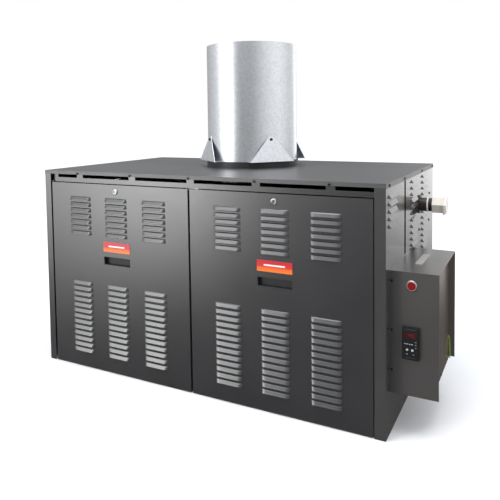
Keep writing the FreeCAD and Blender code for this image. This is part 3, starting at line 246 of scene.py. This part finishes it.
SLOT_MATERIALS = {
    # Doors, header rail and back: near black, with a satin sheen that spreads down the sheet.
    "casing_paint": powder_coat("powder_coat_satin", "#2d2d2e", "#272728", 0.24),
    # Flue pipe, its stays, pans and tray: pale mottled zinc that breaks up reflections.
    "galvanised": galvanised("galvanised_sheet", "#dfe2e6", "#d0d3d8", 0.34),
    # Ring at the foot of the flue and door pulls: flat and dark, partly their own dark finish and partly
    # painted shade, so they read as shadowed openings.
    "dark_ring": moulded("dark_finish_and_painted_shade", "#232426", "#191a1b", 0.45, 1.2, 0.03),
    # Screws and pivot pins: small dark dots with a faint glint.
    "zinc_screws": metal("blackened_steel_screws", "#3a3a3b", "#29292a", 0.4, 0.8),
    # Locks: mid grey with a tight highlight.
    "chrome": metal("nickel_plated_brass", "#8f9092", "#77787b", 0.22, 2.0),
    # Chamber lining: chalky cream, no highlight.
    "refractory": moulded("ceramic_fibre_board", "#cfc7b8", "#b5ab99", 0.85, 3.0, 0.4),
    # Exchanger tubes: warm and shiny.
    "copper": metal("drawn_copper", "#c98a63", "#a5663f", 0.28, 4.0),
    # Tube sheets: cold grey with a drawn-out grain.
    "tube_sheet_steel": metal("milled_steel_plate", "#8e9093", "#75777a", 0.35, 2.0, (0.1, 1, 1)),
    # Exchanger headers: dark and coarse, the sand of the mould still felt.
    "cast_iron": moulded("painted_cast_iron", "#2b2c2e", "#1d1e20", 0.6, 2.2, 0.25),
    # Gaskets under the headers: dull grey line.
    "gasket_fibre": moulded("pressed_gasket_fibre", "#5a5c58", "#474944", 0.8, 1.0, 0.1),
    # Burner tubes and pilot: brownish heat tint that changes along the tube.
    "burner_steel": metal("heat_tinted_stainless", "#8b7f77", "#6a6570", 0.34, 14.0, (1, 0.2, 1)),
    # Gas cock and spuds: yellow, with turning marks.
    "brass": metal("turned_brass", "#c9a455", "#a8833a", 0.25, 1.0, (1, 0.2, 1)),
    # Gas pipes and water nipple: brown-black with an oily sheen.
    "black_pipe": moulded("oiled_black_pipe", "#3b2f2a", "#241c19", 0.42, 2.0, 0.1),
    # Gas cock lever: thick, soft-edged yellow skin.
    "yellow_lever": moulded("vinyl_dipped_handle", "#d9a318", "#c18d10", 0.38, 1.6, 0.05),
    # Gas valves: grainy pale grey.
    "valve_casting": moulded("die_cast_aluminium", "#9b9da0", "#808285", 0.4, 1.4, 0.06, 0.9),
    # Valve knobs: plain glossy red.
    "red_knob": moulded("moulded_red_plastic", "#9c1a16", "#84120f", 0.35, 1.0, 0.03),
    # Shipping cap and sealing washer: clean off-white.
    "white_plastic": moulded("white_moulded_plastic", "#dcdad6", "#cdcac4", 0.35, 1.5, 0.02),
    # Clamp ring on the water union: soft and dull.
    "black_rubber": moulded("black_rubber_ring", "#1d1b1b", "#131212", 0.55, 0.9, 0.05),
    # Water union: waxy beige.
    "beige_plastic": moulded("beige_moulded_plastic", "#d3ccc2", "#c2b9ae", 0.32, 1.5, 0.03),
    # Controller and ignition module: fine-textured black.
    "controller_black": moulded("black_textured_abs", "#111416", "#0b0d0f", 0.38, 0.7, 0.03),
    # Display window: dark red that glows a little.
    "display_red": lit_segments("lit_segments_in_red_acrylic", "#3a0a0c", "#240607", 0.1),
    # Start button: deep red under a sharp highlight.
    "button_red": moulded("red_lens_acrylic", "#850a08", "#690605", 0.16, 2.0, 0.02),
    # Earth wire: green and yellow drifting into each other.
    "earth_wire": moulded("green_yellow_pvc", "#9aa544", "#5d7a33", 0.4, 4.0, 0.02),
}
# Side panels: glossier, so the seams and louvre rows show as brighter edges.
SIDE_PAINT = powder_coat("powder_coat_gloss", "#3b3a39", "#343332", 0.16)
# Lid: duller, so the bright ceiling lies on it as one even tone.
LID_PAINT = powder_coat("powder_coat_lid", "#3c3c3c", "#363636", 0.38)
# Control box: warmer, with a lacquer that lifts its top.
BOX_PAINT = powder_coat("powder_coat_box", "#3a3735", "#32302d", 0.3, 2.0, 1.0)
# Control box's inner plate: warm bright zinc with rolling marks.
PLATE = metal("bright_zinc_plate", "#dfcdc1", "#d0bfb3", 0.22, 6.0, (0.2, 1, 1), 0.004)
# Seam strip: painted shadow, a black line with no shine at any angle, standing in for the shade in the
# seam.
SEAM_SHADOW_PAINT = moulded("painted_seam_shadow", "#0c0c0c", "#060606", 0.9, 2.0, 0.1, gloss=0.0)
# Ring round the start button: silky grey.
BEZEL = metal("satin_chromed_bezel", "#c4c2c2", "#aeacac", 0.45, 1.0)
# Controller keys: pale and slightly soft.
KEY_GREY = moulded("pale_silicone_keys", "#a3a7a8", "#8d9192", 0.5, 0.6, 0.01)
# Draft hood: painted shade, dark and dull in place of the shade inside the cabinet, so nothing bright
# shows through the header slots.
HOOD_PAINTED_SHADE = moulded("painted_shade_draft_hood", "#3b3836", "#2a2826", 0.7, 6.0, 0.05)
NODE_MATERIALS = {
    "right_front_panel": SIDE_PAINT, "right_rear_panel": SIDE_PAINT,
    "left_front_panel": SIDE_PAINT, "left_rear_panel": SIDE_PAINT,
    "top_panel": LID_PAINT, "control_box_cover": BOX_PAINT, "control_box_chassis": PLATE,
    "draft_hood": HOOD_PAINTED_SHADE, "button_rim": BEZEL,
    "left_controller_key": KEY_GREY, "right_controller_key": KEY_GREY,
    "left_badge": badge_print("screen_printed_plate_left", "left_badge"),
    "right_badge": badge_print("screen_printed_plate_right", "right_badge"),
}
# Inks, collars, digits and the label: the pieces added below.
PRINT_WHITE = moulded("screen_printed_white_ink", "#b9bcbd", "#a6a9aa", 0.5, 0.6, 0.01)
PRINT_GREY = moulded("screen_printed_grey_ink", "#3f4547", "#33383a", 0.5, 0.6, 0.01)
CHROME_DOME = metal("polished_chrome_collar", "#c9cacc", "#b0b1b4", 0.12, 3.0, depth_mm=0.004)
DIGIT_RED = lit_segments("red_display_digits", "#7a1a16", "#5e1210", 0.25)
LABEL_VINYL = moulded("blank_vinyl_label", "#a39e99", "#918c87", 0.5, 5.0, 0.01)


def dress_cad_nodes():
    """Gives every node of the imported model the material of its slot, or its own."""
    slots = {s["node"]: s["material_slot"] for s in frame["record"]["subparts"]}
    for name, item in frame["nodes"].items():
        material = NODE_MATERIALS.get(name) or SLOT_MATERIALS[slots[name]]
        item.data.materials.clear()
        item.data.materials.append(material)


dress_cad_nodes()


# ---- added pieces -----------------------------------------------------------------------------
OUTLINE_POINTS = 24
SHARP_FROM = math.radians(40)
# Powers of the pad's outline: the smaller the power, the squarer the corners.
ROUND_CORNERS = 0.35
SQUARE_CORNERS = 0.1
UPWARD = np.array([0.0, 0.0, 1.0])


def pad(at, across, up, width, height, depth, edge, corners=ROUND_CORNERS):
    """Rings of a flat pad with round corners, from its foot to the rim of its top.

    The outline is a superellipse: each coordinate is a cosine or sine raised to a small power and
    keeps its sign. It rises straight, then leans in by the edge's width over the edge's height.
    """
    across, up = np.array(across, float), np.array(up, float)
    out = np.cross(across, up)
    angle = np.linspace(0, 2 * np.pi, OUTLINE_POINTS, endpoint=False)
    c, s = np.cos(angle), np.sin(angle)
    outline = np.stack([np.sign(c) * np.abs(c) ** corners, np.sign(s) * np.abs(s) ** corners], axis=1)
    half = np.array([[width, height], [width, height], [width - 2 * edge, height - 2 * edge]]) / 2
    flat = outline[None] * half[:, None]
    rise = np.array([0, depth - edge, depth])[:, None, None] * out
    return np.array(at) + flat[..., :1] * across + flat[..., 1:] * up + rise


def loft(name, strips, material, body="cabinet", looped=False):
    """One piece from strips of rings: each ring is joined to the next.

    The ends are closed by caps, or joined to each other where the strips are looped.
    """
    points, faces, start = [], [], 0
    for rings in strips:
        count, around = rings.shape[:2]
        grid = start + np.arange(count * around).reshape(count, around)
        turned = np.roll(grid, -1, axis=1)
        sides = np.stack([grid, turned, np.roll(turned, -1, axis=0), np.roll(grid, -1, axis=0)],
                         axis=-1)
        faces += sides[:None if looped else -1].reshape(-1, 4).tolist()
        faces += [] if looped else [grid[0, ::-1].tolist(), grid[-1].tolist()]
        points.append(rings.reshape(-1, 3))
        start += count * around
    mesh = bpy.data.meshes.new(name)
    mesh.from_pydata(np.concatenate(points), [], faces)
    mesh.materials.append(material)
    mesh.shade_smooth()
    mesh.set_sharp_from_angle(angle=SHARP_FROM)
    piece = bpy.data.objects.new(name, mesh)
    bpy.context.collection.objects.link(piece)
    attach(piece, body)
    return piece


FACE_ACROSS, FACE_UP = (1, 0, 0), (0, 0, 1)
PRINT_DEPTH = 0.25 * MM
EDGE = 0.1 * MM
# Seven segments of a digit: place across and up in half digits, and whether the bar is upright.
SEGMENTS = {"top": (0, 2, False), "middle": (0, 0, False), "foot": (0, -2, False),
            "upper_left": (-1, 1, True), "upper_right": (1, 1, True),
            "lower_left": (-1, -1, True), "lower_right": (1, -1, True)}
DIGIT_SHAPES = {1: ("upper_right", "lower_right"),
                4: ("upper_left", "upper_right", "middle", "lower_right"),
                0: ("top", "foot", "upper_left", "upper_right", "lower_left", "lower_right")}
DIGITS_SHOWN = (1, 4, 0)
DIGIT_HALF = 2.5 * MM
DIGIT_PITCH = 8.5 * MM
SEGMENT_LONG, SEGMENT_WIDE = 4.2 * MM, 1.0 * MM


def display_digits():
    """Three seven-segment digits on the display window."""
    low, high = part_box("display_window")
    middle = (np.array(low) + np.array(high)) / 2
    strips = []
    for place, digit in zip((-1, 0, 1), DIGITS_SHOWN):
        for name in DIGIT_SHAPES[digit]:
            aside, rise, upright = SEGMENTS[name]
            at = (middle[0] + place * DIGIT_PITCH + aside * DIGIT_HALF, low[1],
                  middle[2] + rise * DIGIT_HALF)
            size = (SEGMENT_WIDE, SEGMENT_LONG) if upright else (SEGMENT_LONG, SEGMENT_WIDE)
            strips.append(pad(at, FACE_ACROSS, FACE_UP, *size, PRINT_DEPTH, EDGE))
    loft("display_digits", strips, DIGIT_RED)


# Marks on the controller in millimetres: middle across and down from the top left corner of its
# face, width, height.
BARS = [(24, 5.5, 34, 1.4), (24, 90, 30, 0.8)]
LAMPS = [(x, 49, 3.4, 2.2) for x in (8, 15, 22, 29)]
KEY_MARKS = [(39.5, y, 3.4, 1.2) for y in (41, 49, 58)] + [(x, 79, 4.5, 1.0) for x in (14, 33)]


def controller_printing():
    """Plain marks on the controller's face: a bar at its top and foot, lamps and key marks."""
    low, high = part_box("temperature_controller")
    left, top, face = low[0], high[2], low[1]
    for name, marks, ink in (("controller_bars", BARS, PRINT_GREY),
                             ("controller_marks", LAMPS + KEY_MARKS, PRINT_WHITE)):
        strips = [pad((left + x * MM, face, top - y * MM), FACE_ACROSS, FACE_UP, w * MM, h * MM,
                      PRINT_DEPTH, EDGE) for x, y, w, h in marks]
        loft(name, strips, ink)


LABEL_WIDE, LABEL_LONG, LABEL_THICK = 22 * MM, 148 * MM, 0.3 * MM
LABEL_FROM_RIGHT, LABEL_FROM_FRONT = 78 * MM, 175 * MM


def box_label():
    """A blank pale label laid lengthways on the control box."""
    low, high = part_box("control_box_cover")
    at = (high[0] - LABEL_FROM_RIGHT, low[1] + LABEL_FROM_FRONT, high[2])
    strip = pad(at, (1, 0, 0), (0, 1, 0), LABEL_WIDE, LABEL_LONG, LABEL_THICK, EDGE,
                SQUARE_CORNERS)
    loft("box_label", [strip], LABEL_VINYL)


# Pressed louvre, section from its root on the sheet over the rolled lip and back underneath:
# (share of the reach outwards, share of the height upwards). The shell covers the plain wedge.
LOUVRE_SECTION = np.array([(-0.06, 1.04), (0.16, 0.98), (0.42, 0.76), (0.68, 0.48), (0.9, 0.24),
                           (1.05, 0.12), (1.12, 0.02), (1.08, -0.08), (0.92, -0.13), (0.5, -0.1),
                           (-0.06, -0.06)])
LOUVRE_REACH, LOUVRE_HEIGHT = 7 * MM, 13 * MM
LOUVRE_TAPER, LOUVRE_OVERHANG = 7 * MM, 0.8 * MM
LOUVRE_STATIONS = 22
END_POWER = 14
END_SWELL_SQUARED = 0.0004
LIP_BAND = 0.2 * MM
# Lip corners closer than a tenth of a millimetre are one corner.
CORNER_DECIMALS = 4


def louvres(node, body, out, across, material):
    """Pressed louvre shells over the wedges of one panel, found from the corners of their lips.

    The section is carried along the louvre's length. Its reach is multiplied by the root of
    one less a high power of the distance from the middle, which closes both ends roundly.
    """
    mesh = frame["nodes"][node].data
    points = np.empty(len(mesh.vertices) * 3)
    mesh.vertices.foreach_get("co", points)
    points = points.reshape(-1, 3)
    out, across = np.array(out, float), np.array(across, float)
    reached = points @ out
    lip = reached.max()
    corners = points[reached > lip - LIP_BAND]
    places = np.stack([corners[:, 2], corners @ across], axis=1)
    places = np.unique(np.round(places, CORNER_DECIMALS), axis=0)
    along = np.cos(np.linspace(np.pi, 0, LOUVRE_STATIONS))[:, None]
    swell = np.sqrt(np.clip(1 - np.abs(along) ** END_POWER, END_SWELL_SQUARED, 1))
    stands = lip - LOUVRE_REACH + swell * LOUVRE_SECTION[:, 0] * LOUVRE_REACH
    strips = []
    # The corners come sorted by height and place, so each louvre's two ends follow each other.
    for (level, start), (_, end) in zip(places[::2], places[1::2]):
        half = (end - start) / 2 + LOUVRE_TAPER + LOUVRE_OVERHANG
        sideways = (start + end) / 2 + along * half
        rise = level + LOUVRE_SECTION[:, 1] * LOUVRE_HEIGHT
        strips.append(stands[..., None] * out + sideways[..., None] * across
                      + rise[..., None] * UPWARD)
    loft(node.replace("panel", "louvres"), strips, material, body)


# A lock collar's section: distance from the plug's axis and height off the door, in millimetres.
COLLAR_SECTION = np.array([(6.4, -0.5), (10.4, -0.5), (10.4, 1.6), (9.6, 3.0), (8.2, 3.8),
                           (7.0, 3.6), (6.4, 2.6)]) * MM
COLLAR_STEPS = 32
BARREL_PROUD = 1.5 * MM


def lock_collar(side):
    """A domed ring round the lock's plug: its section is turned about the plug's axis."""
    low, high = (np.array(corner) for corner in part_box(f"{side}_lock_barrel"))
    middle = (low + high) / 2
    turn = np.linspace(0, 2 * np.pi, COLLAR_STEPS, endpoint=False)[:, None]
    radius, off = COLLAR_SECTION[:, 0], COLLAR_SECTION[:, 1]
    depth = np.broadcast_to(low[1] + BARREL_PROUD - off, (COLLAR_STEPS, len(off)))
    rings = np.stack([middle[0] + radius * np.cos(turn), depth,
                      middle[2] + radius * np.sin(turn)], axis=-1)
    # Reversed, the section runs so that the faces look outwards.
    loft(f"{side}_lock_collar", [rings[:, ::-1]], CHROME_DOME, f"{side}_door", looped=True)


# Width, thickness and reach of the strip of painted seam shadow.
SHADOW_STRIP_WIDE, SHADOW_STRIP_THICK = 16 * MM, 0.5 * MM
SHADOW_STRIP_OVER_BOX, SHADOW_STRIP_UNDER_TOP = 4 * MM, 12 * MM


def seam_shadow_strip():
    """A black strip of painted shadow in the upright seam between the right side's front and rear panels.

    It lies on the side's face, where the control box begins, from just above the box.
    """
    front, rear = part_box("right_front_panel"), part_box("right_rear_panel")
    box_low, box_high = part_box("control_box_cover")
    seam = (front[1][1] + rear[0][1]) / 2
    foot, top = box_high[2] + SHADOW_STRIP_OVER_BOX, front[1][2] - SHADOW_STRIP_UNDER_TOP
    at = (box_low[0], seam, (foot + top) / 2)
    strip = pad(at, (0, 1, 0), (0, 0, 1), SHADOW_STRIP_WIDE, top - foot, SHADOW_STRIP_THICK, EDGE,
                SQUARE_CORNERS)
    loft("seam_shadow_strip", [strip], SEAM_SHADOW_PAINT)


display_digits()
controller_printing()
box_label()
# The shade in the side's seam, painted as a black strip.
seam_shadow_strip()
for side in ("left", "right"):
    louvres(f"{side}_door_panel", f"{side}_door", (0, -1, 0), (1, 0, 0),
            SLOT_MATERIALS["casing_paint"])
    lock_collar(side)


# ---- stage ------------------------------------------------------------------------------------
# Brightness of the studio round the horizon, by heading in degrees: 0 is the front, 90 the right.
# A tall softbox stands front left, the walls are mid grey, and the back wall right is lit.
HORIZON = [(-180, 0.9), (-165, 0.3), (-135, 0.4), (-90, 0.7), (-66, 0.9), (-53, 1.8), (-44, 3.8),
           (-38, 9.2), (-33.5, 9.2), (-28.5, 1.0), (-20, 0.4), (8, 0.4), (36, 0.55), (60, 1.0),
           (100, 1.3), (140, 0.8), (160, 1.0), (168, 1.5), (173, 2.5), (177, 2.4)]
BRIGHTEST = max(level for _, level in HORIZON)
# A slightly cool ceiling, and how bright the room is under the object.
CEILING = (1.2, 1.26, 1.38, 1.0)
DARK_BELOW = 0.10
# Upward share of the direction: the walls pass into the ceiling over the first pair, and the room
# fades from dark to the walls over the second.
CLIMB_FROM, CLIMB_TO = 0.38, 0.92
FADE_FROM, FADE_TO = -0.33, -0.05
FLOOR_HALF = 12.0
FLOOR_DRIFT = 900 * MM
SOFTBOX_AT, SOFTBOX_TOWARDS = (0.3, -0.6, 2.9), (0.1, -0.1, 0.7)
SOFTBOX_SIZE = (2.4, 1.6)
SOFTBOX_WATTS = 55


def studio_world():
    """White to the camera; what the surfaces see is a softbox, a pale ceiling and dim walls."""
    world = bpy.data.worlds.new("studio")
    world.use_nodes = True
    tree = world.node_tree
    tree.nodes.clear()
    axes = add(tree, "SeparateXYZ", add(tree, "TexCoord").outputs["Generated"]).outputs
    front = add(tree, "Math", axes["Y"], -1.0, operation="MULTIPLY")
    heading = add(tree, "Math", axes["X"], front, operation="ARCTAN2")
    turn = add(tree, "MapRange", heading, From_Min=-math.pi, From_Max=math.pi)
    walls = add(tree, "ValToRGB", turn, stops=[((degrees + 180) / 360, level / BRIGHTEST)
                                               for degrees, level in HORIZON])
    lit = add(tree, "MixRGB", 1.0, walls, (BRIGHTEST,) * 3 + (1,), blend_type="MULTIPLY")
    climb = add(tree, "MapRange", axes["Z"], From_Min=CLIMB_FROM, From_Max=CLIMB_TO)
    sky = add(tree, "MixRGB", climb, lit, CEILING)
    above = add(tree, "MapRange", axes["Z"], From_Min=FADE_FROM, From_Max=FADE_TO,
                interpolation_type="SMOOTHSTEP")
    seen = add(tree, "MixRGB", above, (DARK_BELOW,) * 3 + (1,), sky)
    plain = add(tree, "Background", (1, 1, 1, 1), 1.0)
    studio = add(tree, "Background", seen, 1.0)
    direct = add(tree, "LightPath").outputs["Is Camera Ray"]
    add(tree, "OutputWorld", add(tree, "MixShader", direct, studio, plain))
    bpy.context.scene.world = world
    bpy.context.scene.view_settings.view_transform = "Standard"


def pale_floor():
    """A matt white floor that gloss does not see, so the paint keeps its depth low down."""
    half = FLOOR_HALF
    mesh = bpy.data.meshes.new("floor")
    mesh.from_pydata([(-half, -half, 0), (half, -half, 0), (half, half, 0), (-half, half, 0)], [],
                     [(0, 1, 2, 3)])
    floor = bpy.data.objects.new("floor", mesh)
    bpy.context.collection.objects.link(floor)
    material, tree, where = blank("matt_white_floor")
    drift = add(tree, "TexNoise", Vector=where, Scale=1 / FLOOR_DRIFT)
    colour = add(tree, "ValToRGB", drift, stops=[(0.0, "#f6f6f6"), (1.0, "#fbfbfb")])
    matt = add(tree, "BsdfPrincipled", Base_Color=colour, Roughness=1.0, Specular_IOR_Level=0.0)
    add(tree, "OutputMaterial", matt)
    mesh.materials.append(material)
    floor.visible_glossy = False


def soft_light(name, at, towards, size, power):
    """A rectangular softbox aimed at a point."""
    data = bpy.data.lights.new(name, "AREA")
    data.shape = "RECTANGLE"
    data.size, data.size_y = size
    data.energy = power
    lamp = bpy.data.objects.new(name, data)
    lamp.location = at
    lamp.rotation_euler = (Vector(towards) - Vector(at)).to_track_quat("-Z", "Y").to_euler()
    bpy.context.collection.objects.link(lamp)


studio_world()
pale_floor()
soft_light("top_softbox", SOFTBOX_AT, SOFTBOX_TOWARDS, SOFTBOX_SIZE, SOFTBOX_WATTS)
